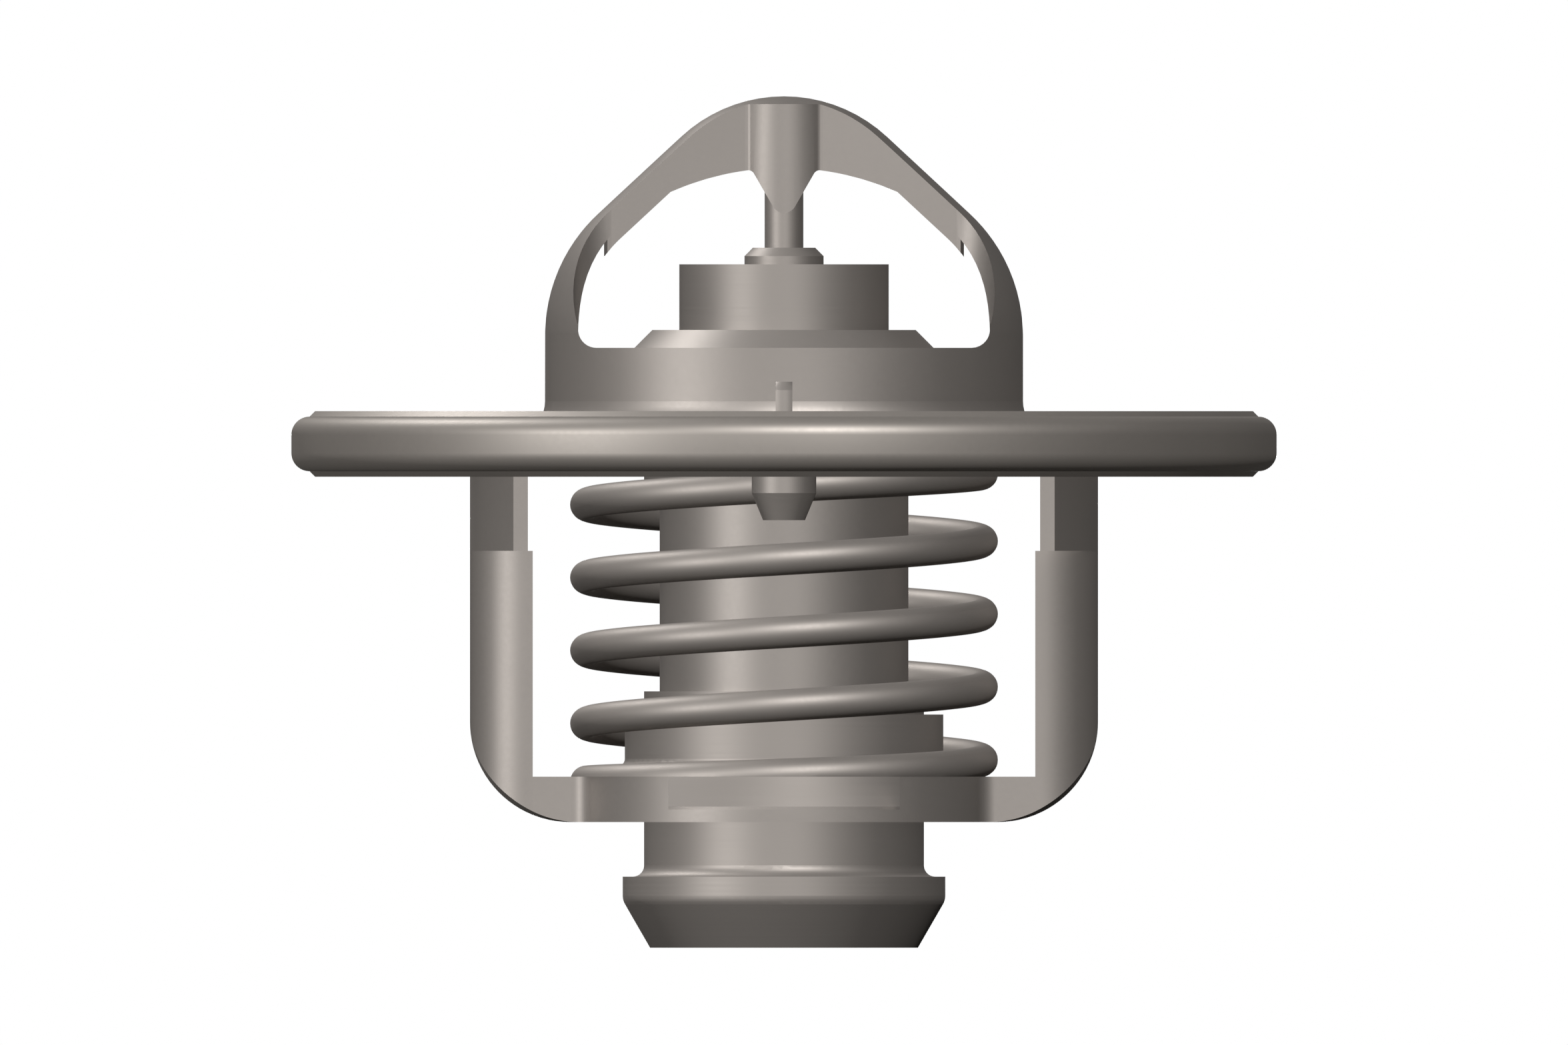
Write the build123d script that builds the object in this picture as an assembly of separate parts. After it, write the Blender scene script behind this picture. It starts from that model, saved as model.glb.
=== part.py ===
from build123d import *
import math
import os

# Wax-element coolant thermostat, in millimetres.
# +Z runs up the valve axis, towards the domed bridge; the origin is the middle of the flange's sheet on that axis.
# The windows in the dome face -Y (front) and +Y (back), and the stirrup's legs stand at -X and +X.
# The valve is shut, as in a cold engine.

# Driving dimensions: pressed housing
housing_sheet = 1.0
dome_top_z = 19.06
dome_crown_radius = 8.29
dome_shoulder_radius = 9.08
dome_shoulder_centre_z = 5.96
dome_wall_radius = 13.10
flange_flare_radius = 1.84

# Driving dimensions: arms, ribs and post of the dome
arm_half_thickness = 1.46
arm_flare_slope = 0.167
window_corner_x = 9.05
window_corner_radius = 2.50
window_half_width = 11.28
window_bottom_z = 5.27
window_low_corner_radius = 1.0
window_bulge_bottom_z = 6.60
rib_depth = 1.83
rib_end_x = 9.865
rib_end_sweep_radius = 25.70
rib_kink_x = 6.21
rib_apex_z = 15.13
post_radius = 2.63
post_apex_z = 11.97
post_half_angle = 30.0
post_tip_radius = 0.70
post_root_radius = 0.35
post_side_fillet = 0.38
piston_socket_top_z = 16.90

# Driving dimensions: flange seal
seal_outer_radius = 27.00
seal_rim_wall = 1.50
seal_lip_width = 2.70
seal_half_height = 1.80
seal_band_half_height = 0.50
seal_bead_radius = 1.00
seal_lip_slope = 0.30
seal_lip_round = 0.35

# Driving dimensions: piston and element
piston_radius = 1.06
piston_bottom_z = -13.20
piston_end_chamfer = 0.20
bush_radius = 2.17
bush_top_z = 10.76
bush_chamfer = 0.46
bush_length = 2.20
guide_cap_radius = 5.74
guide_top_z = 9.85
guide_flange_thickness = 1.35
head_radius = 8.22
head_top_z = 6.25
head_bevel = 1.00
head_wall = 1.00
head_bottom_z = 1.90
cup_radius = 6.82
cup_wall = 0.80
cup_bottom_z = -21.90
cup_floor = 1.00
cup_corner_radius = 1.20
oring_wire_radius = 0.48
backup_disc_radius = 3.00
backup_disc_thickness = 0.60
boot_radius = 2.40
boot_flange_thickness = 1.00
boot_end_wall = 1.20

# Driving dimensions: valve
valve_sheet = 0.90
valve_plate_inset = 0.50
valve_step_radius = 8.90
seal_sheet = 0.80
valve_seal_overlap = 0.50
valve_seal_width = 4.00
valve_seal_skirt = 1.30
valve_seal_lip = 0.50
valve_seal_edge = 0.90
spring_cap_sheet = 0.80
spring_cap_collar_radius = 7.67
spring_cap_collar_length = 1.15

# Driving dimensions: main spring
spring_wire = 1.75
spring_mean_radius = 10.85
spring_pitch = 4.00
spring_closed_pitch = 0.75
spring_bottom_z = -18.24
spring_top_z = -1.45
spring_first_rise = 0.917
spring_open_turns = 3.69
spring_ease_turns = 0.50
spring_bottom_ground_turns = 0.42
spring_top_ground_turns = 0.14
spring_points_per_turn = 12

# Driving dimensions: bush in the dish
guide_collar_radius = 8.73
guide_collar_top_z = -14.83
guide_collar_root = 0.38
guide_cone_top_z = -17.64
guide_cone_bottom_z = -19.88
guide_cone_half_angle = 30.0
guide_foot_radius = 10.45

# Driving dimensions: stirrup
stirrup_sheet = 0.68
stirrup_outer_radius = 17.21
stirrup_bottom_z = -20.73
stirrup_bend_radius = 5.48
stirrup_ring_radius = 11.44
stirrup_arm_half_width = 3.47
stirrup_web_radius = 1.10
stirrup_hole_radius = 8.00
stirrup_leg_inner_x = 13.77
stirrup_notch_half_width = 6.34
tab_bottom_z = -5.86
tab_half_width = 8.73
tab_leg_lap = 1.50
tab_leg_inner_x = 14.05
tongue_half_width = 4.00
tongue_fold_length = 1.70

# Driving dimensions: bypass plug
plug_sleeve_radius = 7.67
plug_sleeve_top_z = -13.56
plug_flange_radius = 8.84
plug_flange_top_z = -23.72
plug_flange_fillet = 0.62
plug_bottom_z = -27.62
plug_bottom_radius = 7.34
plug_cone_half_angle = 30.0
plug_edge_round = 0.95

# Driving dimensions: jiggle pin
jiggle_edge_distance = 6.90
jiggle_hole_radius = 0.80
jiggle_rod_radius = 0.46
jiggle_top_z = 3.41
jiggle_blade_bottom_z = 1.70
jiggle_blade_radius = 1.10
jiggle_blade_chamfer = 0.46
jiggle_head_radius = 1.77
jiggle_head_bottom_z = -2.69
jiggle_cone_bottom_z = -4.18
jiggle_cone_radius = 1.15

# Clearances
piston_fit = 0.02
guide_fit = 0.03
boot_fit = 0.06
sleeve_fit = 0.05
seat_gap = 0.08
slot_fit = 0.10
assembly_fit = 0.03
head_gap = 0.05

# Sizes that follow from the driving dimensions
flange_edge_radius = seal_outer_radius - seal_rim_wall
seal_inner_radius = flange_edge_radius - seal_lip_width
jiggle_y = jiggle_edge_distance - flange_edge_radius
valve_seal_radius = dome_wall_radius + valve_seal_overlap
spring_cap_radius = valve_seal_radius - valve_seal_skirt
valve_plate_radius = spring_cap_radius - valve_plate_inset
valve_seal_inner_radius = valve_seal_radius - valve_seal_width
sheet_top_z = housing_sheet / 2
sheet_bottom_z = -housing_sheet / 2
flare_centre = (dome_wall_radius + flange_flare_radius, sheet_top_z + flange_flare_radius)
crown_centre = (0.0, dome_top_z - dome_crown_radius)
shoulder_centre = (dome_wall_radius - dome_shoulder_radius, dome_shoulder_centre_z)
cup_bore_radius = cup_radius - cup_wall
head_floor_z = head_bottom_z + head_wall
boot_top_z = head_floor_z + boot_flange_thickness
guide_flange_top_z = boot_top_z + guide_flange_thickness
head_bore_radius = head_radius - head_wall
bush_bottom_z = bush_top_z - bush_length
stirrup_floor_z = stirrup_bottom_z + stirrup_sheet
spring_cap_top_z = spring_top_z + spring_cap_sheet
valve_seal_top_z = spring_cap_top_z + seal_sheet


def at_angle(centre, radius, angle):
    """A point of the profile plane, at an angle in degrees from the radial direction."""
    turn = math.radians(angle)
    return (centre[0] + radius * math.cos(turn), centre[1] + radius * math.sin(turn))


def arc(centre, radius, start, end):
    """An arc between two angles in degrees, by its middle point."""
    middle = at_angle(centre, radius, (start + end) / 2)
    return ThreePointArc(at_angle(centre, radius, start), middle, at_angle(centre, radius, end))


def turned(*edges):
    """A solid of revolution from the closed outline of its right half, drawn as radius and height."""
    return revolve(Plane.XZ * make_face(Curve() + list(edges)), Axis.Z, 360)


def turned_polygon(*points):
    """A solid of revolution with straight edges only."""
    return turned(Polyline(*points, close=True))


def front_extrusion(face, half_depth):
    """A face drawn in the front view, as X and Z, made thick both ways along Y."""
    return extrude(Plane.XZ * face, amount=half_depth, both=True)


def plan_extrusion(face, low_z, high_z):
    """A face drawn from above, made thick between two heights."""
    return extrude(Plane.XY.offset(low_z) * face, amount=high_z - low_z)


def tube(outer_radius, inner_radius, low_z, high_z):
    """A plain ring on the valve axis."""
    return plan_extrusion(Circle(outer_radius) - Circle(inner_radius), low_z, high_z)


def tangent_angle():
    """The slope's normal where one straight line touches both the crown arc and the shoulder arc."""
    across = shoulder_centre[0] - crown_centre[0]
    down = crown_centre[1] - shoulder_centre[1]
    reach = (dome_shoulder_radius - dome_crown_radius) / math.hypot(across, down)
    return 90 - math.degrees(math.acos(reach) - math.atan2(across, down))


def dome_edges(inset):
    """The dome's meridian from the axis to the flare, inset from the outer skin."""
    slope = tangent_angle()
    crown = arc(crown_centre, dome_crown_radius - inset, 90, slope)
    shoulder = arc(shoulder_centre, dome_shoulder_radius - inset, slope, 0)
    return [crown, Line(crown @ 1, shoulder @ 0), shoulder]


def filled_dome():
    """Everything under the dome's outer skin, for trimming the ribs and the post."""
    skin = dome_edges(0)
    foot = (dome_wall_radius, window_bottom_z)
    rest = Polyline(skin[2] @ 1, foot, (0, foot[1]), (0, dome_top_z))
    return turned(*skin, rest)


def pressed_shell():
    """The drawn sheet: dome, wall, flare and flange, with no openings yet."""
    outer = dome_edges(0)
    inner = dome_edges(housing_sheet)
    outer_flare = arc(flare_centre, flange_flare_radius, 180, 270)
    inner_flare = arc(flare_centre, flange_flare_radius + housing_sheet, 180, 270)
    edges = outer + [Line(outer[2] @ 1, outer_flare @ 0), outer_flare]
    edges += [Polyline(outer_flare @ 1, (flange_edge_radius, sheet_top_z), (flange_edge_radius, sheet_bottom_z),
                       inner_flare @ 1)]
    edges += inner + [inner_flare, Line(inner_flare @ 0, inner[2] @ 1), Line(inner[0] @ 0, outer[0] @ 0)]
    return turned(*edges)


def window_cutter():
    """The front window: flared arm faces and round corners in plan, a level sill in the front view."""
    face_angle = math.degrees(math.atan(arm_flare_slope))
    lean = math.radians(face_angle)
    corner_y = arm_half_thickness + arm_flare_slope * window_corner_x + window_corner_radius / math.cos(lean)
    corner = (window_corner_x, -corner_y)
    reach = 2 * dome_wall_radius
    past = math.degrees(math.acos((window_half_width - window_corner_x) / window_corner_radius))
    right = arc(corner, window_corner_radius, 90 - face_angle, -past)
    edges = [Line((0, -arm_half_thickness), right @ 0), right]
    edges += [Polyline(right @ 1, (window_half_width, -reach), (0, -reach), (0, -arm_half_thickness))]
    half = make_face(Curve() + edges)
    plan = half + mirror(half, Plane.YZ)
    sill = RectangleRounded(2 * window_half_width, 2 * dome_top_z, window_low_corner_radius)
    front = Pos(0, window_bottom_z + dome_top_z) * sill
    lower = plan_extrusion(plan, window_bottom_z - 1, window_bulge_bottom_z) & front_extrusion(front, reach)
    return lower + plan_extrusion(plan, window_bulge_bottom_z, dome_top_z + 1)


def rib_strip():
    """Both ribs in the front view: one arc between the kinks, then as deep as the rib under the dome's skin."""
    crown, slope, shoulder = dome_edges(rib_depth)
    run = (rib_kink_x - (slope @ 0).X) / ((slope @ 1).X - (slope @ 0).X)
    kink = slope @ run
    sag = rib_apex_z - kink.Y
    radius = (kink.X ** 2 + sag ** 2) / (2 * sag)
    centre_z = rib_apex_z - radius
    under = arc((0, centre_z), radius, 90, math.degrees(math.atan2(kink.Y - centre_z, kink.X)))
    low = (shoulder @ 1).Y
    rest = Polyline(shoulder @ 1, (dome_wall_radius, low), (dome_wall_radius, dome_top_z), (0, dome_top_z),
                    (0, rib_apex_z))
    half = make_face(Curve() + [under, Line(under @ 1, shoulder @ 0), shoulder, rest])
    return half + mirror(half, Plane.YZ)


def post_plan():
    """The post from above: a round boss between the flared arm faces, with small webs in the corners."""
    reach = post_radius + 2 * post_side_fillet
    end = arm_half_thickness + arm_flare_slope * reach
    quarter = [(0, arm_half_thickness), (reach, end)]
    right = quarter + [(x, -y) for x, y in reversed(quarter)]
    half = make_face(Polyline(*right, close=True))
    plan = Circle(post_radius) + half + mirror(half, Plane.YZ)
    corners = [v for v in plan.vertices() if abs(math.hypot(v.X, v.Y) - post_radius) < 0.001]
    return fillet(corners, post_side_fillet)


def ribs():
    """The ribs under both arms, as wide as the arms, with slightly bowed ends."""
    sweep_x = rib_end_x - rib_end_sweep_radius
    ends = Pos(sweep_x) * Circle(rib_end_sweep_radius) & Pos(-sweep_x) * Circle(rib_end_sweep_radius)
    window = window_cutter()
    body = front_extrusion(rib_strip(), dome_wall_radius) & plan_extrusion(ends, 0, dome_top_z)
    return body - window - mirror(window, Plane.XZ)


def post():
    """The round post for the piston, whose lower end is a blunt wedge."""
    rise = dome_top_z - post_apex_z
    spread = rise * math.tan(math.radians(post_half_angle))
    wedge = make_face(Polyline((0, post_apex_z), (spread, dome_top_z), (-spread, dome_top_z), close=True))
    wedge = fillet(wedge.vertices().sort_by(Axis.Y)[0], post_tip_radius)
    outline = rib_strip() + wedge
    roots = [v for v in outline.vertices() if abs(v.X) < post_radius and v.Y > post_apex_z + 2 * post_tip_radius]
    roots = [v for v in roots if v.Y < rib_apex_z]
    outline = fillet(roots, post_root_radius)
    return front_extrusion(outline, post_radius) & plan_extrusion(post_plan(), 0, dome_top_z)


def sector(outer_radius, inner_radius, half_width, low_z, high_z):
    """A piece of ring on both sides of the axis, as wide as asked along Y."""
    band = Rectangle(2 * outer_radius + 2, 2 * half_width)
    return plan_extrusion((Circle(outer_radius) - Circle(inner_radius)) & band, low_z, high_z)


def housing():
    body = pressed_shell()
    window = window_cutter()
    body -= window
    body -= mirror(window, Plane.XZ)
    body += (ribs() + post()) & filled_dome()
    socket = piston_radius + piston_fit
    body -= plan_extrusion(Circle(socket), 0, piston_socket_top_z)
    body -= sector(stirrup_outer_radius + slot_fit, stirrup_outer_radius - stirrup_sheet - slot_fit,
                   tongue_half_width + slot_fit, sheet_bottom_z - 1, sheet_top_z + 1)
    body -= Pos(0, jiggle_y) * plan_extrusion(Circle(jiggle_hole_radius), sheet_bottom_z - 1, sheet_top_z + 1)
    return body


def flange_seal():
    """A rubber U: two lips on the flange and a rounded bead outside it."""
    def half(side):
        bead = arc((seal_outer_radius - seal_bead_radius, side * seal_band_half_height), seal_bead_radius,
                   0, side * 90)
        lip_end = (seal_inner_radius + seal_lip_round, side * seal_half_height)
        lip_low = (seal_inner_radius, side * (seal_half_height - seal_lip_round))
        lip_centre = (lip_end[0], lip_low[1])
        lip = arc(lip_centre, seal_lip_round, side * 90, side * 180)
        slope_top = ((bead @ 1).X - seal_lip_slope, side * seal_half_height)
        top = Polyline(bead @ 1, slope_top, lip_end)
        inside = Polyline(lip_low, (seal_inner_radius, side * sheet_top_z), (flange_edge_radius, side * sheet_top_z))
        return [bead, top, lip, inside]
    band = Line((seal_outer_radius, -seal_band_half_height), (seal_outer_radius, seal_band_half_height))
    groove = Line((flange_edge_radius, -sheet_top_z), (flange_edge_radius, sheet_top_z))
    return turned(band, groove, *half(1), *half(-1))


def piston():
    rod = plan_extrusion(Circle(piston_radius), piston_bottom_z, piston_socket_top_z)
    return chamfer(rod.edges().filter_by(GeomType.CIRCLE), piston_end_chamfer)


def element_body():
    """The cup, its wider head and the lip that is rolled in over the guide."""
    lip_low = guide_flange_top_z
    inner = guide_cap_radius + assembly_fit
    corner = arc((cup_radius - cup_corner_radius, cup_bottom_z + cup_corner_radius), cup_corner_radius, 0, -90)
    outside = Polyline((inner, lip_low), (inner, head_top_z), (head_radius - head_bevel, head_top_z),
                       (head_radius, head_top_z - head_bevel), (head_radius, head_bottom_z),
                       (cup_radius, head_bottom_z), corner @ 0)
    floor = cup_bottom_z + cup_floor
    inside = Polyline(corner @ 1, (0, cup_bottom_z), (0, floor), (cup_bore_radius, floor),
                      (cup_bore_radius, head_floor_z), (head_bore_radius, head_floor_z),
                      (head_bore_radius, lip_low), (inner, lip_low))
    return turned(outside, corner, inside)


def piston_guide():
    """The guide: a flange clamped in the head, a cap above it, a bore for the piston and pockets for the seals."""
    body = tube(guide_cap_radius, piston_radius + guide_fit, boot_top_z, guide_top_z)
    body += tube(head_bore_radius - assembly_fit, piston_radius + guide_fit, boot_top_z, guide_flange_top_z)
    pocket_bottom = bush_bottom_z - 2 * oring_wire_radius
    body -= plan_extrusion(Circle(bush_radius), pocket_bottom, guide_top_z)
    body -= plan_extrusion(Circle(backup_disc_radius), boot_top_z, boot_top_z + backup_disc_thickness)
    return body


def guide_bush():
    bore = piston_radius + guide_fit
    return turned_polygon((bore, bush_bottom_z), (bush_radius, bush_bottom_z),
                          (bush_radius, bush_top_z - bush_chamfer), (bush_radius - bush_chamfer, bush_top_z),
                          (bore, bush_top_z))


def piston_seal():
    """An O-ring in the guide's pocket, just clear of the piston."""
    middle = bush_radius - oring_wire_radius
    return Pos(0, 0, bush_bottom_z - oring_wire_radius) * Torus(middle, oring_wire_radius)


def backup_disc():
    return tube(backup_disc_radius, piston_radius + guide_fit, boot_top_z, boot_top_z + backup_disc_thickness)


def boot_inside_end_z():
    return piston_bottom_z - boot_fit


def rubber_boot():
    """A closed sleeve round the piston, with the flange that the guide clamps."""
    bore = piston_radius + boot_fit
    end = boot_inside_end_z()
    return turned_polygon((bore, boot_top_z), (head_bore_radius, boot_top_z), (head_bore_radius, head_floor_z),
                          (boot_radius, head_floor_z), (boot_radius, end - boot_end_wall), (0, end - boot_end_wall),
                          (0, end), (bore, end))


def wax_charge():
    """The wax that fills the cup round the boot."""
    end = boot_inside_end_z() - boot_end_wall
    return turned_polygon((boot_radius, head_floor_z), (cup_bore_radius, head_floor_z),
                          (cup_bore_radius, cup_bottom_z + cup_floor), (0, cup_bottom_z + cup_floor),
                          (0, end), (boot_radius, end))


def valve_plate():
    """A stepped disc that hangs under the element's head and presses on the rubber ring."""
    bore = cup_radius + assembly_fit
    low = valve_seal_top_z
    hub_low = head_bottom_z - valve_sheet
    step_out = valve_step_radius + valve_sheet
    return turned_polygon((bore, hub_low), (bore, head_bottom_z), (valve_step_radius, head_bottom_z),
                          (step_out, low + valve_sheet), (valve_plate_radius, low + valve_sheet),
                          (valve_plate_radius, low), (step_out - valve_sheet / 2, low),
                          (valve_step_radius - valve_sheet / 2, hub_low))


def valve_seal():
    """The rubber ring: clamped between plate and cap, with a bevelled rim that meets the housing's bend."""
    seat_reach = (flange_flare_radius + housing_sheet + seat_gap) * math.sqrt(2)
    bevel_sum = flare_centre[0] + flare_centre[1] - seat_reach
    lip_top = valve_seal_top_z + valve_seal_lip
    inner_lip = valve_plate_radius + assembly_fit
    foot = spring_cap_radius + assembly_fit
    rim_z = bevel_sum - valve_seal_radius
    foot_z = rim_z - valve_seal_edge
    return turned_polygon((valve_seal_inner_radius, spring_cap_top_z), (foot, spring_cap_top_z), (foot, foot_z),
                          (valve_seal_radius, foot_z), (valve_seal_radius, rim_z), (bevel_sum - lip_top, lip_top),
                          (inner_lip, lip_top), (inner_lip, valve_seal_top_z),
                          (valve_seal_inner_radius, valve_seal_top_z))


def spring_cap():
    """The spring's upper seat, with a collar that grips the cup."""
    bore = cup_radius + assembly_fit
    body = tube(spring_cap_radius, bore, spring_top_z, spring_cap_top_z)
    return body + tube(spring_cap_collar_radius, bore, spring_top_z - spring_cap_collar_length, spring_cap_top_z)


def spring_height(turn):
    """Height of the wire's centre above the lower seat; the pitch eases off to nearly closed at both ends."""
    ease = spring_ease_turns
    gain = (spring_pitch - spring_closed_pitch) / (2 * ease)
    height = spring_first_rise + spring_pitch * turn
    below = max(0.0, -turn)
    above = max(0.0, turn - spring_open_turns)
    for over, sign in ((below, 1), (above, -1)):
        eased = min(over, ease)
        height += sign * (gain * eased ** 2 + (over - eased) * (spring_pitch - spring_closed_pitch))
    return height


def main_spring():
    """A right-handed coil whose ends are ground flat on the two seats."""
    first = -(spring_ease_turns + spring_bottom_ground_turns)
    last = spring_open_turns + spring_ease_turns + spring_top_ground_turns
    count = math.ceil((last - first) * spring_points_per_turn)
    points = []
    for i in range(count + 1):
        turn = first + (last - first) * i / count
        angle = 2 * math.pi * turn
        height = spring_bottom_z + spring_height(turn)
        points.append((spring_mean_radius * math.cos(angle), spring_mean_radius * math.sin(angle), height))
    path = Spline(*points)
    wire = sweep(Plane(origin=path @ 0, z_dir=path % 0) * Circle(spring_wire / 2), path=path)
    return wire & tube(spring_mean_radius + spring_wire, spring_mean_radius - spring_wire,
                       spring_bottom_z, spring_top_z)


def spring_seat_bush():
    """The bush in the dish: a guide collar inside the spring, a conical body and a spigot in the dish's hole."""
    bore = plug_sleeve_radius + sleeve_fit
    root_centre = (guide_collar_radius + guide_collar_root, guide_cone_top_z + guide_collar_root)
    root = arc(root_centre, guide_collar_root, 180, 270)
    fall = guide_cone_top_z - guide_cone_bottom_z
    cone_top_radius = guide_foot_radius - fall * math.tan(math.radians(guide_cone_half_angle))
    outside = Polyline(root @ 1, (cone_top_radius, guide_cone_top_z), (guide_foot_radius, guide_cone_bottom_z),
                       (guide_foot_radius, stirrup_floor_z), (stirrup_hole_radius, stirrup_floor_z),
                       (stirrup_hole_radius, stirrup_bottom_z), (bore, stirrup_bottom_z))
    inside = Polyline((bore, stirrup_bottom_z), (bore, guide_collar_top_z), (guide_collar_radius, guide_collar_top_z),
                      root @ 0)
    return turned(root, outside, inside)


def drawn_cup(inset, top_z):
    """The filled form of the cup that the stirrup is cut from, inset from its outer skin."""
    radius = stirrup_outer_radius - inset
    bend = stirrup_bend_radius - inset
    centre = (stirrup_outer_radius - stirrup_bend_radius, stirrup_bottom_z + stirrup_bend_radius)
    corner = arc(centre, bend, 0, -90)
    rest = Polyline(corner @ 1, (0, stirrup_bottom_z + inset), (0, top_z), (radius, top_z), corner @ 0)
    return turned(corner, rest)


def stirrup_plan(inset):
    """The outline from above: a ring and a bar with round ends, with small webs between them."""
    half_width = stirrup_arm_half_width - inset
    centre_x = stirrup_outer_radius - stirrup_arm_half_width
    bar = SlotOverall(2 * (centre_x + half_width), 2 * half_width)
    ring = Circle(stirrup_ring_radius - inset)
    outline = ring + bar
    corners = [v for v in outline.vertices() if abs(math.hypot(v.X, v.Y) - stirrup_ring_radius + inset) < 0.01]
    return fillet(corners, stirrup_web_radius + inset)


def stirrup():
    """One pressed sheet: dished ring, channel arms, fluted legs and tabs folded over the flange."""
    leg_top = tab_bottom_z + tab_leg_lap
    rim_z = spring_bottom_z
    reach = stirrup_outer_radius + 1
    body = plan_extrusion(stirrup_plan(0), stirrup_bottom_z, leg_top) & drawn_cup(0, leg_top)
    body -= plan_extrusion(stirrup_plan(stirrup_sheet), stirrup_bottom_z, leg_top) & drawn_cup(stirrup_sheet, leg_top)
    body -= plan_extrusion(Rectangle(2 * stirrup_leg_inner_x, 2 * reach), rim_z, leg_top)
    body -= plan_extrusion(Rectangle(2 * tab_leg_inner_x, 2 * reach), tab_bottom_z, leg_top)
    body -= plan_extrusion(Circle(stirrup_hole_radius), stirrup_bottom_z, rim_z)
    notch = Rectangle(2 * stirrup_notch_half_width, 2 * reach)
    body -= plan_extrusion(notch, stirrup_floor_z, rim_z)
    inner = stirrup_outer_radius - stirrup_sheet
    body += sector(stirrup_outer_radius, inner, tab_half_width, tab_bottom_z, sheet_bottom_z)
    fold_top = sheet_top_z + stirrup_sheet
    body += sector(stirrup_outer_radius, inner, tongue_half_width, sheet_bottom_z, fold_top)
    fold = sector(stirrup_outer_radius + tongue_fold_length, inner, tongue_half_width, sheet_top_z, fold_top)
    body += fold
    bends = [e for e in body.edges().filter_by(GeomType.CIRCLE)
             if abs(e.center().Z - fold_top) < 0.01 and abs(e.radius - inner) < 0.01]
    return fillet(bends, stirrup_sheet * 0.8)


def bypass_plug():
    """The sleeve on the cup and the plug that shuts the bypass port, flat below."""
    bore = cup_radius + assembly_fit
    floor = cup_bottom_z
    fillet_centre = (plug_sleeve_radius + plug_flange_fillet, plug_flange_top_z + plug_flange_fillet)
    root = arc(fillet_centre, plug_flange_fillet, 180, 270)
    spread = plug_flange_radius - plug_bottom_radius
    meet_z = plug_bottom_z + spread / math.tan(math.radians(plug_cone_half_angle))
    run = plug_edge_round * math.tan(math.radians(plug_cone_half_angle / 2))
    edge_centre = (plug_flange_radius - plug_edge_round, meet_z + run)
    edge = arc(edge_centre, plug_edge_round, 0, -plug_cone_half_angle)
    outside = Polyline(root @ 1, (plug_flange_radius, plug_flange_top_z), edge @ 0)
    inside = Polyline(edge @ 1, (plug_bottom_radius, plug_bottom_z), (0, plug_bottom_z), (0, floor), (bore, floor),
                      (bore, plug_sleeve_top_z), (plug_sleeve_radius, plug_sleeve_top_z), root @ 0)
    return turned(root, outside, edge, inside)


def jiggle_pin():
    """The loose pin: a cone head under the flange, a rod through its hole and a flat blade that keeps it in."""
    head_top = sheet_bottom_z - head_gap
    head = turned_polygon((0, head_top), (jiggle_head_radius, head_top), (jiggle_head_radius, jiggle_head_bottom_z),
                          (jiggle_cone_radius, jiggle_cone_bottom_z), (0, jiggle_cone_bottom_z))
    rod = plan_extrusion(Circle(jiggle_rod_radius), head_top, jiggle_blade_bottom_z)
    blade = plan_extrusion(Circle(jiggle_blade_radius), jiggle_blade_bottom_z, jiggle_top_z)
    blade = chamfer(blade.edges().sort_by(Axis.Z)[-1], jiggle_blade_chamfer)
    flats = Rectangle(2 * jiggle_rod_radius, 4 * jiggle_blade_radius)
    blade &= plan_extrusion(flats, jiggle_blade_bottom_z, jiggle_top_z)
    return Pos(0, jiggle_y) * (head + rod + blade)


PIECES = [housing, flange_seal, piston, stirrup, spring_seat_bush, main_spring, element_body, piston_guide,
          guide_bush, piston_seal, backup_disc, rubber_boot, wax_charge, valve_plate, valve_seal, spring_cap,
          bypass_plug, jiggle_pin]

os.makedirs("parts", exist_ok=True)
for piece in PIECES:
    export_step(piece(), "parts/" + piece.__name__ + ".step")
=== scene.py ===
import math

import bmesh
import bpy
from bpy.props import FloatProperty, FloatVectorProperty, PointerProperty
from mathutils import Matrix, Vector


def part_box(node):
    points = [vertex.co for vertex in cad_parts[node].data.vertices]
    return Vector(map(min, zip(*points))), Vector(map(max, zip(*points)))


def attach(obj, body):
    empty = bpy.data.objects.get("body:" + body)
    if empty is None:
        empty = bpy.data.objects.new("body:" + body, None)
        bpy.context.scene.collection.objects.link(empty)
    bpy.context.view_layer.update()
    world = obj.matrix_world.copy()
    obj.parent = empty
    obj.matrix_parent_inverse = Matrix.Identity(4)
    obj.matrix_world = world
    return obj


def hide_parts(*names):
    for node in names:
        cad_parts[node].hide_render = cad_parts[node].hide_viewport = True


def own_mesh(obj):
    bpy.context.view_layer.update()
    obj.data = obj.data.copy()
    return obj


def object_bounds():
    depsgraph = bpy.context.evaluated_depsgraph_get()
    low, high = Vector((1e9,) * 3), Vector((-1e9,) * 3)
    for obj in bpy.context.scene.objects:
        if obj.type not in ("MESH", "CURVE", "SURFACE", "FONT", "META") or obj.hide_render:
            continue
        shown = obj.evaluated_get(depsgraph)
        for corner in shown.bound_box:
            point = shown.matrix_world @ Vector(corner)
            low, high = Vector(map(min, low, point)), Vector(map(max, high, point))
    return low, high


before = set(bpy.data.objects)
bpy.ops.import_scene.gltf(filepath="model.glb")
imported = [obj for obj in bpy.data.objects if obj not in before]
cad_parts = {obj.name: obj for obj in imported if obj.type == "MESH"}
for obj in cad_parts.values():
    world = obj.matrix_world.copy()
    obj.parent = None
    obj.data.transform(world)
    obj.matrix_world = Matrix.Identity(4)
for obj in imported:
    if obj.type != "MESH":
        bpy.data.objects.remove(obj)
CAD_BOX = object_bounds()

bl_info = {
    "name": "Engine Thermostat",
    "version": (1, 0, 0),
    "blender": (4, 5, 0),
    "location": "View3D > Sidebar > Thermostat",
    "description": "Dresses the packed engine thermostat: spring, rubber, metal finishes and studio",
    "category": "Object",
}

MM = 0.001

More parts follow.
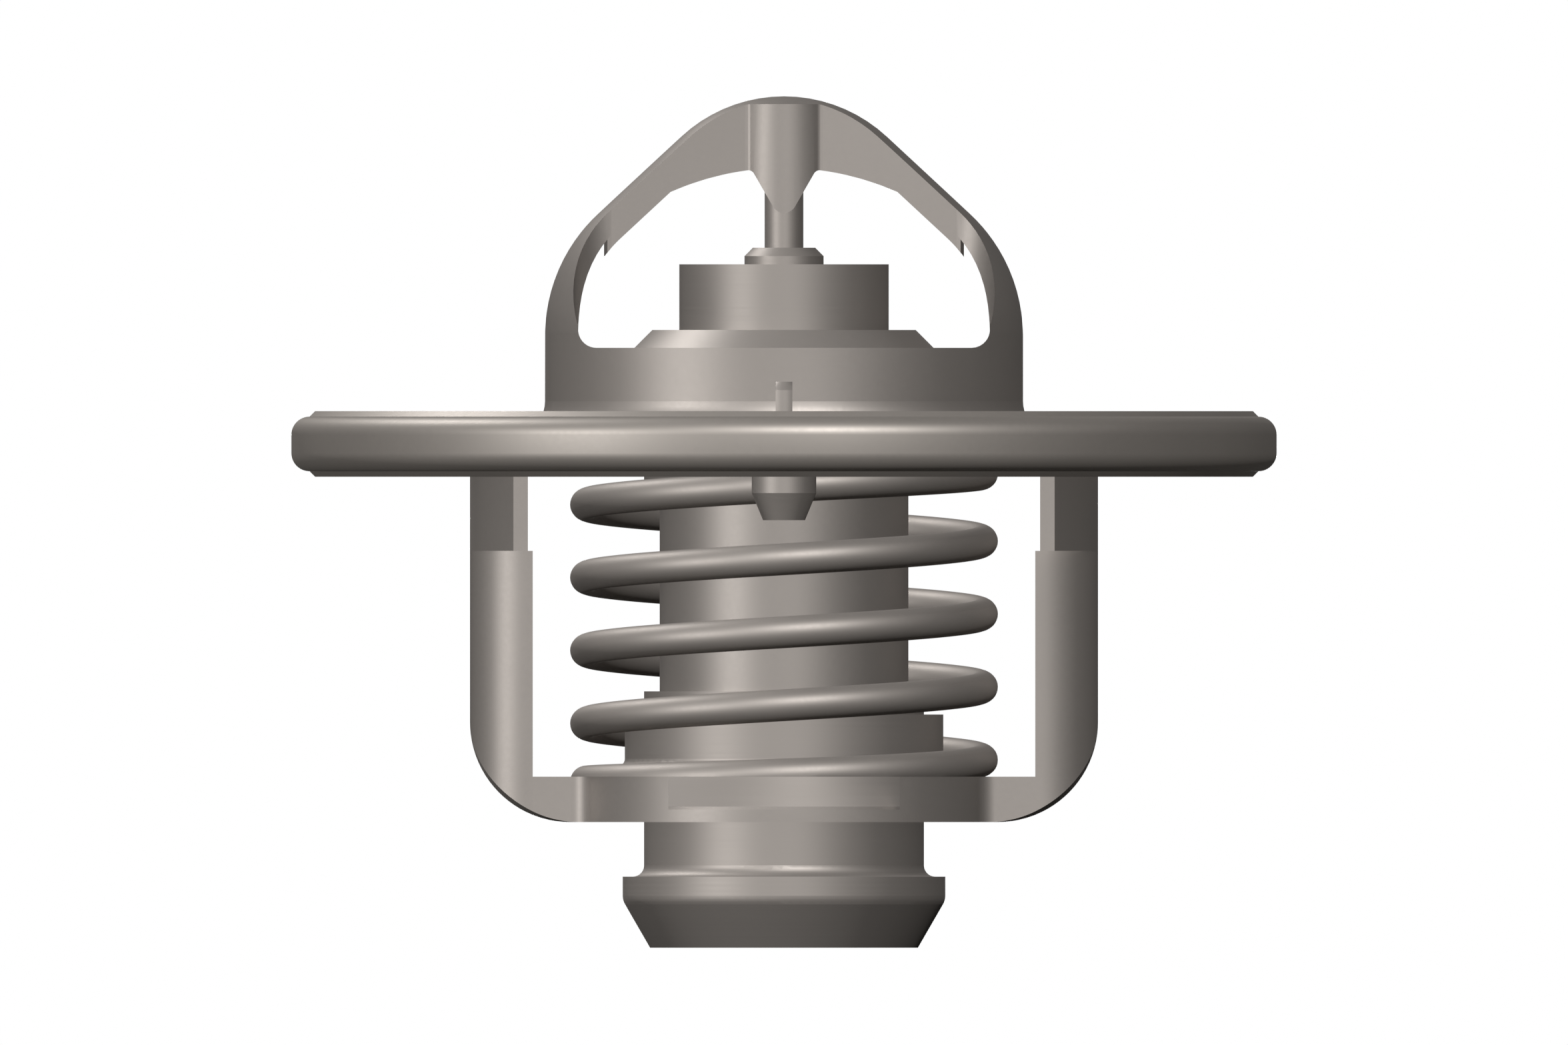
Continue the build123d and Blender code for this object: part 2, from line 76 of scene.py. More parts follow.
# The photograph is straight from the front, 2352 pixels wide and 27.37 pixels to a millimetre. Its middle row
# lies 4.306 mm under the middle of the flange. The camera stands half a metre away.
PHOTO_WIDTH = 2352
PIXELS_PER_MM = 27.37
FRAME_CENTRE_Z = -4.306 * MM
CAMERA_DISTANCE = 0.5

# Each lamp's azimuth from the camera's side to the right, its elevation, its strength and its bounces. The
# first three follow the photograph's shading. The last stands straight behind, where it lights nothing that
# the photograph shows.
LAMPS = {
    "key_left": (-49.0, 13.5, 1.25, 1),
    "key_high": (11.2, 32.2, 1.90, 0),
    "rim_behind_left": (-132.6, 48.4, 0.84, 0),
    "fill_behind": (180.0, 0.0, 0.70, 0),
}
LAMP_ANGLE = math.radians(3)

# The floor's own lamp, which makes the object's shadow there and lights nothing else.
SHADOW_LAMP = ("floor_shadow", -20.0, 62.0, 1.15)
SHADOW_LAMP_ANGLE = math.radians(14)

# Strength of the world's light on the object, and the floor's radius in metres, its edges and its own glow.
AMBIENT = 0.048
FLOOR_RADIUS = 1.5
FLOOR_SEGMENTS = 96
FLOOR_GLOW = 0.15

# Steps round an axis, and segments round a section or a rounded edge.
COIL_STEPS_PER_TURN = 96
WIRE_SEGMENTS = 32
RING_STEPS = 256
BEAD_SEGMENTS = 12
EDGE_SEGMENTS = 8
ORING_STEPS = 64
ORING_SEGMENTS = 24
# An edge that turns by more than this stays crisp. The distances under it are in metres.
SHARP_ANGLE = math.radians(32)
MERGE_DISTANCE = 1e-7
CUT_TOLERANCE = 1e-8
# Stands a flat section up, so that it can be turned round Z.
UPRIGHT = Matrix.Rotation(math.pi / 2, 4, "X")
# The wire's own coordinates, in which it is straight along Z.
WIRE_COORDS = "straight_wire"

# How far a finish strays from its middle: roughness up or down with its pattern, and the tone's share of the
# colour, in clouds of this size. Noise lies mostly between the low and the high value.
GLOSS_SPREAD = 0.012
TONE_SPREAD = 0.045
TONE_CLOUD_MM = 7.0
NOISE_LOW = 0.3
NOISE_HIGH = 0.7
# The metals' metallic value: the photograph's satin also scatters light as a matt surface does.
METAL_SHARE = 0.7
# Turned grooves follow the height on walls and the radius on faces. The radius counts for less, because on a
# chamfer of 45 degrees the two would cancel. A grain of this size and share of their depth lies over them.
RADIUS_SHARE = 0.72
TURNED_GRAIN_MM = 0.22
TURNED_GRAIN_SHARE = 0.35


def linear(hex_colour):
    """A hex sRGB colour as linear red, green, blue and alpha."""
    channels = [int(hex_colour[i:i + 2], 16) / 255 for i in (1, 3, 5)]
    return [c / 12.92 if c <= 0.04045 else ((c + 0.055) / 1.055) ** 2.4 for c in channels] + [1.0]


def length(name, description, millimetres):
    """A property for a size, with its default in millimetres."""
    return FloatProperty(name=name, description=description, default=millimetres * MM, unit="LENGTH",
                         precision=5)


def turns(name, description, default):
    """A property for a number of turns of the spring."""
    return FloatProperty(name=name, description=description, default=default)


def colour(name, description, hex_colour):
    """A property for a colour, with its default as a hex sRGB value."""
    return FloatVectorProperty(name=name, description=description, default=linear(hex_colour), size=4,
                               min=0.0, max=1.0, subtype="COLOR")


class ThermostatSpring(bpy.types.PropertyGroup):
    """Sizes of the main spring. Its open turns start at the X axis."""
    wire: length("Wire", "Diameter of the spring wire", 1.75)
    mean_radius: length("Mean radius", "Radius of the coil at the middle of the wire", 10.85)
    pitch: length("Pitch", "Rise of one open turn", 4.0)
    closed_pitch: length("Closed pitch", "Rise of one turn at the ends", 0.75)
    bottom: length("Lower seat", "Height of the lower ground end", -18.24)
    top: length("Upper seat", "Height of the upper ground end", -1.45)
    first_rise: length("First rise", "Wire's middle over the lower seat where the open turns start", 0.917)
    open_turns: turns("Open turns", "Turns at the full pitch", 3.69)
    ease_turns: turns("Easing", "Turns over which the pitch closes", 0.5)
    bottom_turns: turns("Lower ground turns", "Closed turns at the lower end", 0.42)
    top_turns: turns("Upper ground turns", "Closed turns at the upper end", 0.14)


class ThermostatFlangeSeal(bpy.types.PropertyGroup):
    """Sizes of the rubber ring round the flange."""
    outer_radius: length("Rim radius", "Outer radius of the flange seal", 27.0)
    groove_radius: length("Groove radius", "Radius of the flange's edge in the seal", 25.5)
    inner_radius: length("Lip radius", "Inner radius of the seal's lips", 22.8)
    half_height: length("Half height", "Height of the lips over the middle of the sheet", 1.8)
    bead_half_height: length("Bead half height", "Height of the bead over the middle of the sheet", 1.5)
    bead_round: length("Bead round", "Radius of the bead's shoulders", 1.0)
    lip_slope: length("Lip slope", "Width and height of the slope from lip to bead", 0.3)
    lip_round: length("Lip round", "Radius of the lips' inner edge", 0.35)
    sheet: length("Sheet", "Thickness of the flange in the groove", 1.0)


class ThermostatValveRing(bpy.types.PropertyGroup):
    """Sizes of the rubber ring between valve plate and spring cap."""
    outer_radius: length("Ring radius", "Outer radius of the valve ring", 13.6)
    inner_radius: length("Bore radius", "Radius of the hole in the ring's sheet", 9.6)
    skirt_radius: length("Skirt radius", "Inner radius of the skirt round the spring cap", 12.33)
    lip_radius: length("Lip radius", "Inner radius of the lip round the valve plate", 11.83)
    foot: length("Foot", "Height of the skirt's lower edge", -1.35)
    underside: length("Underside", "Height of the sheet's face on the spring cap", -0.65)
    rim: length("Rim", "Height of the rim's edge, where the 45 degree slope starts", -0.45)
    upper_face: length("Upper face", "Height of the sheet's face under the valve plate", 0.15)
    lip_top: length("Lip top", "Height of the lip's flat top, where the slope ends", 0.65)
    rim_round: length("Rim round", "Radius of the two edges of the rim", 0.2)
    lip_round: length("Lip round", "Radius of the edge between slope and lip", 0.12)


class ThermostatColours(bpy.types.PropertyGroup):
    """Colours of the finishes."""
    steel: colour("Steel", "Satin stainless steel and nickel", "#B4ADA7")
    rim_rubber: colour("Rim rubber", "Rubber of the flange seal", "#B4ADA6")
    valve_rubber: colour("Valve rubber", "Rubber of the valve ring", "#5C5955")
    black_rubber: colour("Black rubber", "O-ring and boot", "#262525")
    white_plastic: colour("White plastic", "Disc over the boot", "#E4E1DA")
    wax: colour("Wax", "Wax in the cup", "#CDB98F")
    floor: colour("Floor", "Studio floor", "#F2F1EF")
    dim_floor: colour("Dim floor", "Studio floor as the object's surfaces see it", "#656462")


def sun_direction(azimuth, elevation):
    """A unit vector towards a lamp."""
    turn, rise = math.radians(azimuth), math.radians(elevation)
    return Vector((math.sin(turn) * math.cos(rise), -math.cos(turn) * math.cos(rise), math.sin(rise)))


def add_node(tree, kind, settings=None, links=None):
    """Adds one node: settings are its options and socket values, links say what feeds its sockets.

    A socket goes by its name, or by its number where several share a name."""
    node = tree.nodes.new(kind)
    for name, value in (settings or {}).items():
        if isinstance(name, int) or name in node.inputs.keys():
            node.inputs[name].default_value = value
        else:
            setattr(node, name, value)
    for name, source in (links or {}).items():
        tree.links.new(source, node.inputs[name])
    return node


def new_material(name):
    """A material with an empty node tree, and that tree."""
    material = bpy.data.materials.new(name)
    material.use_nodes = True
    material.node_tree.nodes.clear()
    return material, material.node_tree


def per_metre(millimetres):
    """A texture scale that repeats a pattern at a real size."""
    return 1000.0 / millimetres


def surface(tree, coords, base, metallic, roughness, pattern, height, depth_mm):
    """Ends a finish: slow clouds of tone, a gloss that follows the pattern and a bump from the height."""
    cloud = add_node(tree, "ShaderNodeTexNoise", {"Scale": per_metre(TONE_CLOUD_MM), "Detail": 2.0},
                     {"Vector": coords})
    darker = [c * (1 - TONE_SPREAD) for c in base[:3]] + [1.0]
    lighter = [min(c * (1 + TONE_SPREAD), 1.0) for c in base[:3]] + [1.0]
    tone = add_node(tree, "ShaderNodeMix", {"data_type": "RGBA", 6: darker, 7: lighter},
                    {0: cloud.outputs["Fac"]})
    gloss = add_node(tree, "ShaderNodeMapRange",
                     {"From Min": NOISE_LOW, "From Max": NOISE_HIGH,
                      "To Min": roughness - GLOSS_SPREAD, "To Max": roughness + GLOSS_SPREAD},
                     {"Value": pattern})
    bump = add_node(tree, "ShaderNodeBump", {"Strength": 1.0, "Distance": depth_mm * MM}, {"Height": height})
    shader = add_node(tree, "ShaderNodeBsdfPrincipled", {"Metallic": metallic},
                      {"Base Color": tone.outputs[2], "Roughness": gloss.outputs["Result"],
                       "Normal": bump.outputs["Normal"]})
    add_node(tree, "ShaderNodeOutputMaterial", {}, {"Surface": shader.outputs["BSDF"]})


def grain_material(name, base, metallic, roughness, grain_mm, depth_mm, lines=None, attribute=None):
    """A satin surface with a fine grain, and marks along one direction where lines is given.

    lines is the marks' spacing and depth in mm, and the stretch of the coordinates that draws them out.
    attribute names the piece's own coordinates, which stand in for the object's."""
    material, tree = new_material(name)
    if attribute:
        coords = add_node(tree, "ShaderNodeAttribute", {"attribute_name": attribute}).outputs["Vector"]
    else:
        coords = add_node(tree, "ShaderNodeTexCoord").outputs["Object"]
    grain = add_node(tree, "ShaderNodeTexNoise", {"Scale": per_metre(grain_mm), "Detail": 3.0},
                     {"Vector": coords}).outputs["Fac"]
    height = grain
    if lines:
        spacing_mm, line_depth_mm, stretch = lines
        stretched = add_node(tree, "ShaderNodeMapping", {"Scale": stretch}, {"Vector": coords})
        marks = add_node(tree, "ShaderNodeTexNoise", {"Scale": per_metre(spacing_mm), "Detail": 2.0},
                         {"Vector": stretched.outputs["Vector"]})
        height = add_node(tree, "ShaderNodeMath", {"operation": "MULTIPLY_ADD", 1: line_depth_mm / depth_mm},
                          {0: marks.outputs["Fac"], 2: grain}).outputs[0]
    surface(tree, coords, base, metallic, roughness, grain, height, depth_mm)
    return material


def turned_material(name, base, metallic, roughness, feed_mm, depth_mm):
    """A turned surface: fine uneven grooves round the axis, as the tool's feed leaves them."""
    material, tree = new_material(name)
    coords = add_node(tree, "ShaderNodeTexCoord").outputs["Object"]
    parts = add_node(tree, "ShaderNodeSeparateXYZ", {}, {"Vector": coords})
    flat = add_node(tree, "ShaderNodeCombineXYZ", {}, {"X": parts.outputs["X"], "Y": parts.outputs["Y"]})
    radius = add_node(tree, "ShaderNodeVectorMath", {"operation": "LENGTH"}, {0: flat.outputs["Vector"]})
    phase = add_node(tree, "ShaderNodeMath", {"operation": "MULTIPLY_ADD", 1: RADIUS_SHARE},
                     {0: radius.outputs["Value"], 2: parts.outputs["Z"]})
    grooves = add_node(tree, "ShaderNodeTexNoise",
                       {"noise_dimensions": "1D", "Scale": per_metre(feed_mm), "Detail": 2.0},
                       {"W": phase.outputs[0]}).outputs["Fac"]
    grain = add_node(tree, "ShaderNodeTexNoise", {"Scale": per_metre(TURNED_GRAIN_MM), "Detail": 2.0},
                     {"Vector": coords})
    height = add_node(tree, "ShaderNodeMath", {"operation": "MULTIPLY_ADD", 1: TURNED_GRAIN_SHARE},
                      {0: grain.outputs["Fac"], 2: grooves})
    surface(tree, coords, base, metallic, roughness, grooves, height.outputs[0], depth_mm)
    return material


def assign(node, material):
    """Gives a CAD node one material in all its slots."""
    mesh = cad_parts[node].data
    if not mesh.materials:
        mesh.materials.append(material)
    for index in range(len(mesh.materials)):
        mesh.materials[index] = material


def finish_mesh(bm, name, material):
    """Turns a bmesh into an object at the origin, smooth but for its sharp edges."""
    bmesh.ops.remove_doubles(bm, verts=bm.verts[:], dist=MERGE_DISTANCE)
    bmesh.ops.recalc_face_normals(bm, faces=bm.faces[:])
    for face in bm.faces:
        face.smooth = True
    for edge in bm.edges:
        edge.smooth = len(edge.link_faces) == 2 and edge.calc_face_angle() < SHARP_ANGLE
    mesh = bpy.data.meshes.new(name)
    bm.to_mesh(mesh)
    bm.free()
    mesh.materials.append(material)
    piece = bpy.data.objects.new(name, mesh)
    bpy.context.scene.collection.objects.link(piece)
    return piece


def turned_ring(name, corners, edge_segments, material):
    """A ring turned round the valve axis. Each corner of its section is a radius, a height and a rounding."""
    bm = bmesh.new()
    verts = [bm.verts.new((radius, 0.0, height)) for radius, height, _ in corners]
    bm.faces.new(verts)
    for size in sorted({rounding for _, _, rounding in corners if rounding}):
        chosen = [vert for vert, (_, _, rounding) in zip(verts, corners) if rounding == size]
        bmesh.ops.bevel(bm, geom=chosen, offset=size, offset_type="OFFSET", segments=edge_segments,
                        profile=0.5, affect="VERTICES", material=-1, clamp_overlap=False)
    bmesh.ops.delete(bm, geom=bm.faces[:], context="FACES_ONLY")
    bmesh.ops.remove_doubles(bm, verts=bm.verts[:], dist=MERGE_DISTANCE)
    bmesh.ops.spin(bm, geom=bm.verts[:] + bm.edges[:], cent=(0, 0, 0), axis=(0, 0, 1), angle=math.tau,
                   steps=RING_STEPS, use_merge=True)
    return finish_mesh(bm, name, material)


def coil_height(spring, turn):
    """Height of the wire's middle over the lower seat; the pitch eases off at both ends."""
    change = spring.pitch - spring.closed_pitch
    height = spring.first_rise + spring.pitch * turn
    for over, sign in ((-turn, 1), (turn - spring.open_turns, -1)):
        over = max(0.0, over)
        eased = min(over, spring.ease_turns)
        height += sign * change * (eased ** 2 / (2 * spring.ease_turns) + over - eased)
    return height


class THERMOSTAT_OT_stage(bpy.types.Operator):
    """Makes the camera, the lamps, the world and the floor"""
    bl_idname = "thermostat.stage"
    bl_label = "Camera, lamps and floor"

    def execute(self, context):
        scene = context.scene
        scene.view_settings.view_transform = "Standard"
        self.camera(scene)
        floor = self.floor(scene)
        self.lamps(scene, floor)
        self.world(scene)
        return {"FINISHED"}

    def camera(self, scene):
        """A camera straight in front, without perspective, whose frame is the photograph's."""
        camera = bpy.data.cameras.new("front_camera")
        camera.type = "ORTHO"
        camera.ortho_scale = PHOTO_WIDTH / PIXELS_PER_MM * MM
        camera_object = bpy.data.objects.new("front_camera", camera)
        camera_object.location = (0.0, -CAMERA_DISTANCE, FRAME_CENTRE_Z)
        camera_object.rotation_euler = (math.pi / 2, 0.0, 0.0)
        scene.collection.objects.link(camera_object)
        scene.camera = camera_object

    def floor(self, scene):
        """A round floor under the part."""
        bm = bmesh.new()
        bmesh.ops.create_circle(bm, cap_ends=True, segments=FLOOR_SEGMENTS, radius=FLOOR_RADIUS)
        bmesh.ops.translate(bm, verts=bm.verts[:], vec=(0.0, 0.0, CAD_BOX[0][2]))
        floor = finish_mesh(bm, "studio_floor", self.floor_material(scene.thermostat_colours))
        return floor

    def lamps(self, scene, floor):
        """The lamps of the object, which cast no shadows, and the floor's own."""
        for name, (azimuth, elevation, strength, bounces) in LAMPS.items():
            lamp = self.sun(scene, name, azimuth, elevation, strength, LAMP_ANGLE)
            # The photograph shows no cast shadows, and next to no light thrown from piece to piece.
            lamp.data.use_shadow = False
            lamp.data.cycles.max_bounces = bounces
        name, azimuth, elevation, strength = SHADOW_LAMP
        shadow_lamp = self.sun(scene, name, azimuth, elevation, strength, SHADOW_LAMP_ANGLE)
        floor_only = bpy.data.collections.new("floor_only")
        floor_only.objects.link(floor)
        shadow_lamp.light_linking.receiver_collection = floor_only

    def sun(self, scene, name, azimuth, elevation, strength, angle):
        """A distant lamp in a given direction."""
        lamp = bpy.data.lights.new(name, "SUN")
        lamp.energy = strength
        lamp.angle = angle
        sun = bpy.data.objects.new(name, lamp)
        sun.rotation_mode = "QUATERNION"
        sun.rotation_quaternion = sun_direction(azimuth, elevation).to_track_quat("Z", "Y")
        scene.collection.objects.link(sun)
        return sun

    def seen(self, tree):
        """1 for rays from the camera, also through glass, and 0 for all others."""
        path = add_node(tree, "ShaderNodeLightPath")
        return add_node(tree, "ShaderNodeMath", {"operation": "MAXIMUM"},
                        {0: path.outputs["Is Camera Ray"], 1: path.outputs["Is Transmission Ray"]}).outputs[0]

    def floor_material(self, colours):
        """Pale board: matt and near white to the camera, with the object's shadow; dim to other rays."""
        material, tree = new_material("pale_board")
        board = add_node(tree, "ShaderNodeBsdfDiffuse", {"Color": colours.floor})
        glow = add_node(tree, "ShaderNodeEmission", {"Color": colours.floor, "Strength": FLOOR_GLOW})
        pale = add_node(tree, "ShaderNodeAddShader", {}, {0: board.outputs[0], 1: glow.outputs[0]})
        dim = add_node(tree, "ShaderNodeBsdfDiffuse", {"Color": colours.dim_floor})
        choice = add_node(tree, "ShaderNodeMixShader", {},
                          {0: self.seen(tree), 1: dim.outputs[0], 2: pale.outputs[0]})
        add_node(tree, "ShaderNodeOutputMaterial", {}, {"Surface": choice.outputs[0]})
        return material

    def world(self, scene):
        """White behind the object, and a dim grey that lights it.

        The satin metal mirrors the dim grey too, because the photograph's metal mirrors nothing white."""
        world = bpy.data.worlds.new("studio")
        world.use_nodes = True
        tree = world.node_tree
        tree.nodes.clear()
        white = add_node(tree, "ShaderNodeBackground", {"Color": (1, 1, 1, 1), "Strength": 1.0})
        dim = add_node(tree, "ShaderNodeBackground", {"Color": (1, 1, 1, 1), "Strength": AMBIENT})
        choice = add_node(tree, "ShaderNodeMixShader", {},
                          {0: self.seen(tree), 1: dim.outputs[0], 2: white.outputs[0]})
        add_node(tree, "ShaderNodeOutputWorld", {}, {"Surface": choice.outputs[0]})
        scene.world = world


class THERMOSTAT_OT_metal_finishes(bpy.types.Operator):
    """Gives the pressed and turned metal pieces their satin finishes"""
    bl_idname = "thermostat.metal_finishes"
    bl_label = "Metal finishes"

    def execute(self, context):
        steel = context.scene.thermostat_colours.steel
        # Pressed stainless sheet, tumbled after drawing: a fine even grain with faint draw marks up the
        # walls, both drawn coarser than the real ones, so that they show.
        pressed = grain_material("tumbled_stainless_sheet", steel, metallic=METAL_SHARE, roughness=0.525,
                                 grain_mm=0.24, depth_mm=0.0008, lines=(0.20, 0.0006, (1.0, 1.0, 0.05)))
        # Turned steel, nickel plated: fine uneven rings, one feed of the tool apart.
        turned = turned_material("turned_nickel_plated_steel", steel, metallic=METAL_SHARE, roughness=0.56,
                                 feed_mm=0.16, depth_mm=0.0004)
        for node in ("housing", "stirrup", "valve_plate", "spring_cap", "element_body"):
            assign(node, pressed)
        for node in ("piston", "spring_seat_bush", "piston_guide", "guide_bush", "bypass_plug", "jiggle_pin"):
            assign(node, turned)
        return {"FINISHED"}


class THERMOSTAT_OT_main_spring(bpy.types.Operator):
    """Winds the main spring, with closed and ground ends"""
    bl_idname = "thermostat.main_spring"
    bl_label = "Main spring"

    def execute(self, context):
        spring = context.scene.thermostat_spring
        bm = self.wind(spring)
        self.grind(bm, spring)
        # Cold-drawn spring wire: faint lines along it, from the drawing die, drawn coarse enough to show.
        wire = grain_material("cold_drawn_spring_wire", context.scene.thermostat_colours.steel,
                              metallic=METAL_SHARE, roughness=0.57, grain_mm=0.22, depth_mm=0.0003,
                              lines=(0.14, 0.0005, (1.0, 1.0, 0.02)), attribute=WIRE_COORDS)
        piece = finish_mesh(bm, "coil_spring", wire)
        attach(piece, "frame")
        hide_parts("main_spring")
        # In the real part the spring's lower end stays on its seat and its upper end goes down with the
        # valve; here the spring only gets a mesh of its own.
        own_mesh(piece)
        return {"FINISHED"}

    def wind(self, spring):
        """Turns the wire's round section up the coil, step by step, and closes its two ends."""
        first = -(spring.ease_turns + spring.bottom_turns)
        last = spring.open_turns + spring.ease_turns + spring.top_turns
        count = math.ceil((last - first) * COIL_STEPS_PER_TURN)
        step = (last - first) / count
        turn = first
        centre = spring.bottom + coil_height(spring, turn)
        bm = bmesh.new()
        layer = bm.verts.layers.float_vector.new(WIRE_COORDS)
        ring = bmesh.ops.create_circle(bm, segments=WIRE_SEGMENTS, radius=spring.wire / 2)["verts"]
        round_axis = Matrix.Rotation(math.tau * turn, 4, "Z")
        outwards = Matrix.Translation((spring.mean_radius, 0.0, centre))
        bmesh.ops.transform(bm, verts=ring, matrix=round_axis @ outwards @ UPRIGHT)
        self.mark(ring, layer, spring, centre, turn)
        geometry = ring + bm.edges[:]
        for _ in range(count):
            rise = coil_height(spring, turn + step) - coil_height(spring, turn)
            result = bmesh.ops.spin(bm, geom=geometry, cent=(0, 0, 0), axis=(0, 0, 1), dvec=(0, 0, rise),
                                    angle=math.tau * step, steps=1)
            geometry = result["geom_last"]
            turn += step
            centre += rise
            ring = [part for part in geometry if isinstance(part, bmesh.types.BMVert)]
            self.mark(ring, layer, spring, centre, turn)
        bmesh.ops.holes_fill(bm, edges=bm.edges[:], sides=0)
        return bm

    def mark(self, ring, layer, spring, centre, turn):
        """Writes where each point would lie on the straight wire, for marks that run along it."""
        for vert in ring:
            outwards = math.hypot(vert.co.x, vert.co.y) - spring.mean_radius
            vert[layer] = Vector((outwards, vert.co.z - centre, turn * math.tau * spring.mean_radius))

    def grind(self, bm, spring):
        """Cuts both ends of the coil flat at the heights of its seats."""
        for height, side in ((spring.bottom, -1), (spring.top, 1)):
            cut = bmesh.ops.bisect_plane(bm, geom=bm.verts[:] + bm.edges[:] + bm.faces[:], dist=CUT_TOLERANCE,
                                         plane_co=(0, 0, height), plane_no=(0, 0, side), clear_outer=True)
            edges = [part for part in cut["geom_cut"] if isinstance(part, bmesh.types.BMEdge)]
            bmesh.ops.holes_fill(bm, edges=edges, sides=0)


class THERMOSTAT_OT_flange_seal(bpy.types.Operator):
    """Moulds the rubber ring that grips the flange's edge"""
    bl_idname = "thermostat.flange_seal"
    bl_label = "Flange seal"

    def execute(self, context):
        seal = context.scene.thermostat_flange_seal
        slope_foot = seal.outer_radius - seal.bead_round
        upper = [(seal.outer_radius, seal.bead_half_height, seal.bead_round),
                 (slope_foot, seal.bead_half_height, 0.0),
                 (slope_foot - seal.lip_slope, seal.half_height, 0.0),
                 (seal.inner_radius, seal.half_height, seal.lip_round),
                 (seal.inner_radius, seal.sheet / 2, 0.0),
                 (seal.groove_radius, seal.sheet / 2, 0.0)]
        lower = [(radius, -height, rounding) for radius, height, rounding in reversed(upper)]
        # Compression-moulded rubber from a fine-blasted mould; the photograph gives it the metal's own sheen.
        rubber = grain_material("moulded_grey_rubber", context.scene.thermostat_colours.rim_rubber,
                                metallic=0.68, roughness=0.515, grain_mm=0.30, depth_mm=0.0003)
        piece = turned_ring("rim_seal", upper + lower, BEAD_SEGMENTS, rubber)
        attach(piece, "frame")
        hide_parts("flange_seal")
        return {"FINISHED"}


class THERMOSTAT_OT_valve_ring(bpy.types.Operator):
    """Moulds the rubber ring that closes the valve"""
    bl_idname = "thermostat.valve_ring"
    bl_label = "Valve ring"

    def execute(self, context):
        ring = context.scene.thermostat_valve_ring
        slope_end = ring.outer_radius - (ring.lip_top - ring.rim)
        corners = [(ring.inner_radius, ring.underside, 0.0),
                   (ring.skirt_radius, ring.underside, 0.0),
                   (ring.skirt_radius, ring.foot, 0.0),
                   (ring.outer_radius, ring.foot, ring.rim_round),
                   (ring.outer_radius, ring.rim, ring.rim_round),
                   (slope_end, ring.lip_top, ring.lip_round),
                   (ring.lip_radius, ring.lip_top, 0.0),
                   (ring.lip_radius, ring.upper_face, 0.0),
                   (ring.inner_radius, ring.upper_face, 0.0)]
        # Moulded rubber: dark grey and matt, with a fine grain from the blasted mould.
        rubber = grain_material("moulded_valve_rubber", context.scene.thermostat_colours.valve_rubber,
                                metallic=0.0, roughness=0.62, grain_mm=0.30, depth_mm=0.003)
        piece = turned_ring("valve_ring", corners, EDGE_SEGMENTS, rubber)
        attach(piece, "element")
        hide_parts("valve_seal")
        return {"FINISHED"}


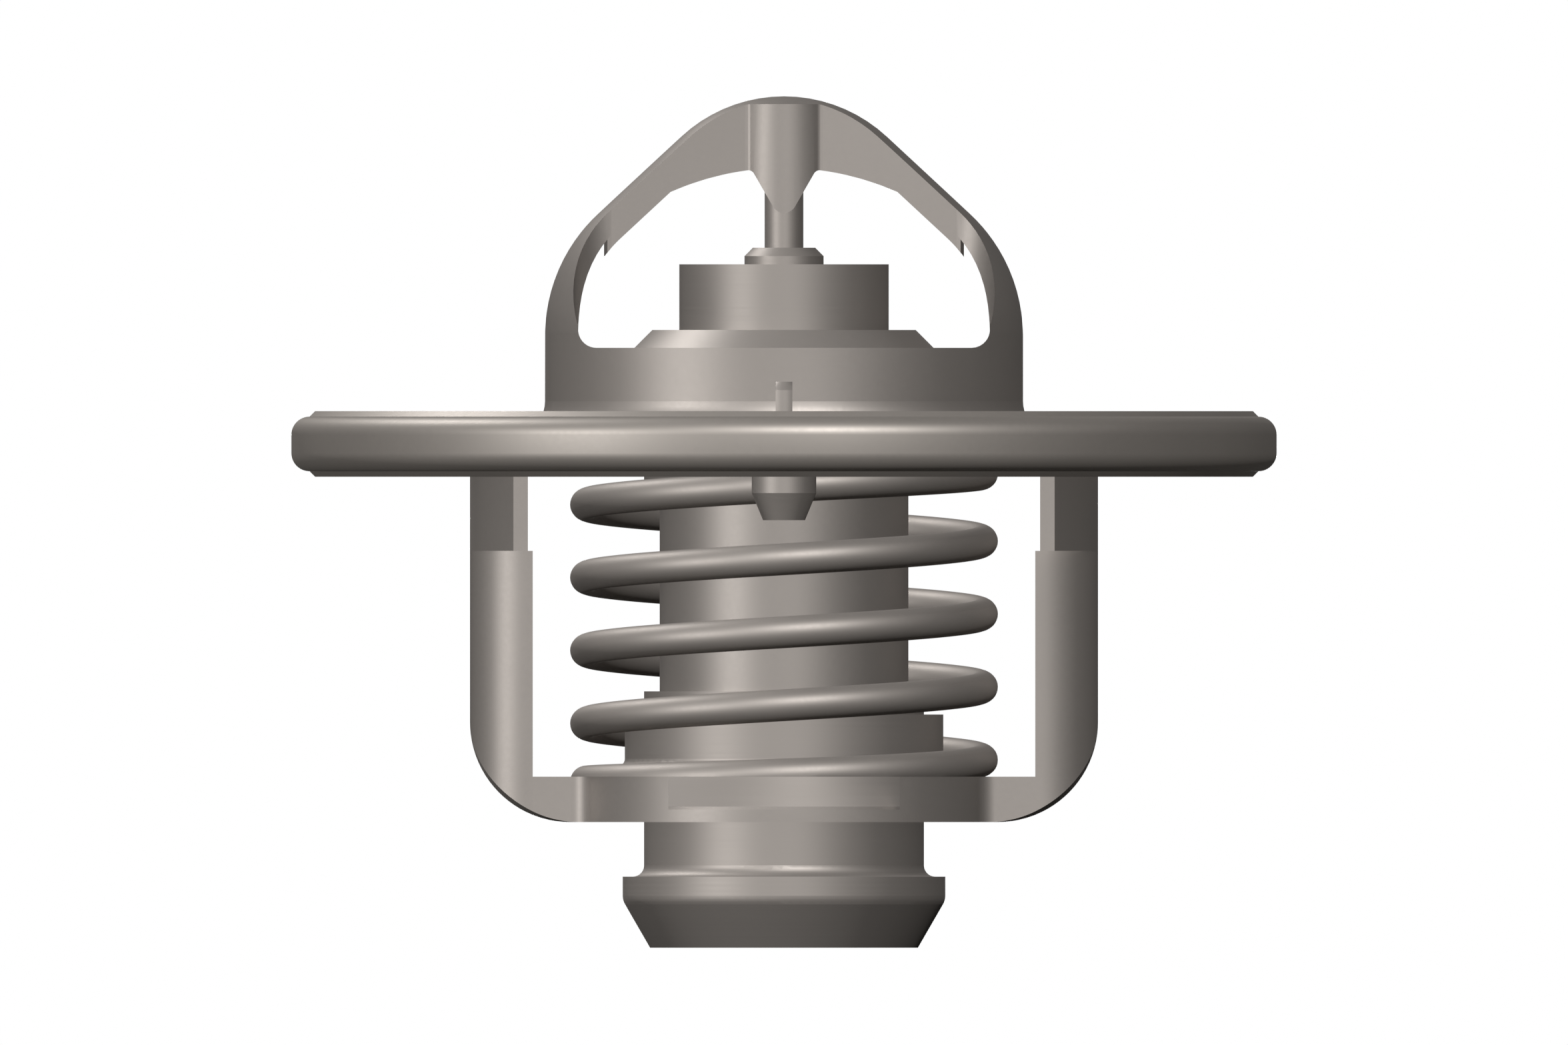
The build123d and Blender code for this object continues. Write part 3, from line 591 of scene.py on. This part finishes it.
class THERMOSTAT_OT_inner_parts(bpy.types.Operator):
    """Moulds the O-ring, and gives the boot, its disc and the wax their finishes"""
    bl_idname = "thermostat.inner_parts"
    bl_label = "Parts inside the cup"

    def execute(self, context):
        colours = context.scene.thermostat_colours
        # Moulded rubber: black and matt, with a fine grain.
        rubber = grain_material("black_moulded_rubber", colours.black_rubber, metallic=0.0, roughness=0.6,
                                grain_mm=0.3, depth_mm=0.003)
        self.o_ring(rubber)
        assign("rubber_boot", rubber)
        # Pressed and sintered plastic: white, smooth and a little waxy.
        plastic = grain_material("sintered_white_plastic", colours.white_plastic, metallic=0.0, roughness=0.5,
                                 grain_mm=0.3, depth_mm=0.002)
        assign("backup_disc", plastic)
        # Hard paraffin wax, cast into the cup: pale brown and dull, with a soft uneven skin.
        wax = grain_material("hard_paraffin_wax", colours.wax, metallic=0.0, roughness=0.5, grain_mm=0.5,
                             depth_mm=0.004)
        assign("wax_charge", wax)
        return {"FINISHED"}

    def o_ring(self, rubber):
        """A round ring that fills the box of its CAD solid."""
        low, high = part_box("piston_seal")
        section_radius = (high.z - low.z) / 2
        bm = bmesh.new()
        section = bmesh.ops.create_circle(bm, segments=ORING_SEGMENTS, radius=section_radius)["verts"]
        place = Matrix.Translation((high.x - section_radius, 0.0, (low.z + high.z) / 2))
        bmesh.ops.transform(bm, verts=section, matrix=place @ UPRIGHT)
        bmesh.ops.spin(bm, geom=bm.verts[:] + bm.edges[:], cent=(0, 0, 0), axis=(0, 0, 1), angle=math.tau,
                       steps=ORING_STEPS, use_merge=True)
        oring = finish_mesh(bm, "o_ring", rubber)
        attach(oring, "element")
        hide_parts("piston_seal")


class VIEW3D_PT_thermostat(bpy.types.Panel):
    """The thermostat's pieces, sizes and colours"""
    bl_idname = "VIEW3D_PT_thermostat"
    bl_label = "Thermostat"
    bl_space_type = "VIEW_3D"
    bl_region_type = "UI"
    bl_category = "Thermostat"

    def draw(self, context):
        for operator in OPERATORS:
            self.layout.operator(operator.bl_idname)
        for attribute in GROUPS:
            group = getattr(context.scene, attribute)
            box = self.layout.box()
            for name in group.__annotations__:
                box.prop(group, name)


GROUPS = {"thermostat_spring": ThermostatSpring, "thermostat_flange_seal": ThermostatFlangeSeal,
          "thermostat_valve_ring": ThermostatValveRing, "thermostat_colours": ThermostatColours}
OPERATORS = (THERMOSTAT_OT_stage, THERMOSTAT_OT_metal_finishes, THERMOSTAT_OT_main_spring,
             THERMOSTAT_OT_flange_seal, THERMOSTAT_OT_valve_ring, THERMOSTAT_OT_inner_parts)


def register():
    for name, group in GROUPS.items():
        bpy.utils.register_class(group)
        setattr(bpy.types.Scene, name, PointerProperty(type=group))
    for each in OPERATORS + (VIEW3D_PT_thermostat,):
        bpy.utils.register_class(each)


def unregister():
    for each in reversed(OPERATORS + (VIEW3D_PT_thermostat,)):
        bpy.utils.unregister_class(each)
    for name, group in GROUPS.items():
        delattr(bpy.types.Scene, name)
        bpy.utils.unregister_class(group)


def main():
    register()
    bpy.ops.thermostat.stage()
    bpy.ops.thermostat.metal_finishes()
    bpy.ops.thermostat.main_spring()
    bpy.ops.thermostat.flange_seal()
    bpy.ops.thermostat.valve_ring()
    bpy.ops.thermostat.inner_parts()


if __name__ == "__main__":
    main()
